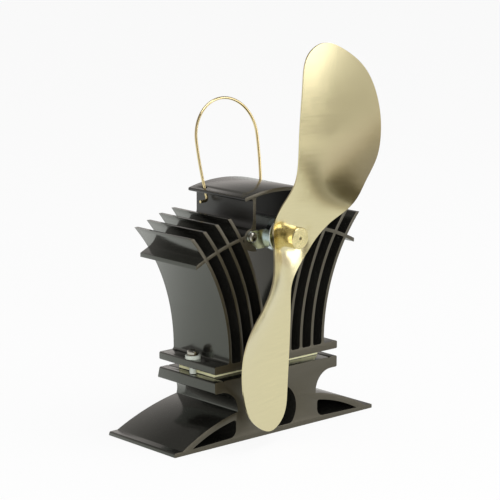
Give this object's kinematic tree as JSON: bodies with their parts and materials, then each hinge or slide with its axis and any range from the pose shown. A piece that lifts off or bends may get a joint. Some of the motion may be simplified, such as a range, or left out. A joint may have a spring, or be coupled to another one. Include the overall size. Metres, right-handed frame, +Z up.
{
  "type": "stove fan",
  "caption": "Heat-powered stove fan: finned black heat sink on a splayed base, with a twisted two-wing gold blade in front and a wire bail handle on top.",
  "frame": {"origin": "on the surface it stands on, under the middle of the base's width and of the extrusions' depth", "axes": "+Z up, -Y towards the side the blade faces, X along the base"},
  "size_m": [0.151, 0.0895, 0.2203],
  "materials": {
    "black_base": "black anodised extrusion, sawn end faces a little browner",
    "black_sink": "black anodised extrusion, sawn end faces a little browner",
    "graphite_foil": "dull graphite foil",
    "module_ceramic": "dull cream alumina",
    "pellet_metal": "grey semiconductor blocks",
    "gasket": "pale cream silicone",
    "washer_insulator": "pale satin insulator",
    "spring_steel": "browned spring steel",
    "screw_steel": "bright stainless steel",
    "zinc_strap": "bright zinc plate",
    "motor_steel": "zinc plated steel can",
    "magnet_ferrite": "dark ferrite",
    "black_plastic": "moulded black plastic",
    "terminal_brass": "tinned brass",
    "bronze_bush": "sintered bronze",
    "shaft_steel": "ground steel",
    "core_steel": "laminated steel",
    "winding_copper": "enamelled copper",
    "washer_plastic": "natural nylon",
    "hub_brass": "turned brass, satin",
    "gold_sheet": "pale gold anodised sheet, satin",
    "gold_wire": "bright gold plated wire"
  },
  "bodies": {
    "frame": {"base": "black_base", "heat_sink": "black_sink", "lower_foil": "graphite_foil", "upper_foil": "graphite_foil", "module_lower_ceramics": "module_ceramic", "module_upper_ceramics": "module_ceramic", "module_pellets": "pellet_metal", "gasket_frame": "gasket", "insulating_washers": "washer_insulator", "spring_washers": "spring_steel", "clamp_screws": "screw_steel", "motor_bracket": "zinc_strap", "bracket_screws": "screw_steel", "motor_screws": "screw_steel", "motor_can": "motor_steel", "motor_magnets": "magnet_ferrite", "motor_end_cap": "black_plastic", "motor_terminals": "terminal_brass", "motor_brushes": "terminal_brass", "front_bush": "bronze_bush", "rear_bush": "bronze_bush"},
    "fan": {"shaft": "shaft_steel", "armature_core": "core_steel", "armature_windings": "winding_copper", "commutator": "winding_copper", "thrust_washers": "washer_plastic", "hub": "hub_brass", "blade_collar": "hub_brass", "blade": "gold_sheet"},
    "bail": {"bail_handle": "gold_wire"}
  },
  "joints": [
    {"name": "fan_spin", "type": "hinge", "parent": "frame", "child": "fan", "pos_m": [0, 0, 0.1143], "axis": [0, 1, 0], "continuous": true},
    {"name": "bail_rock", "type": "hinge", "parent": "frame", "child": "bail", "pos_m": [0, 0.0137, 0.13683], "axis": [1, 0, 0], "range_deg": [-12, 32]}
  ]
}
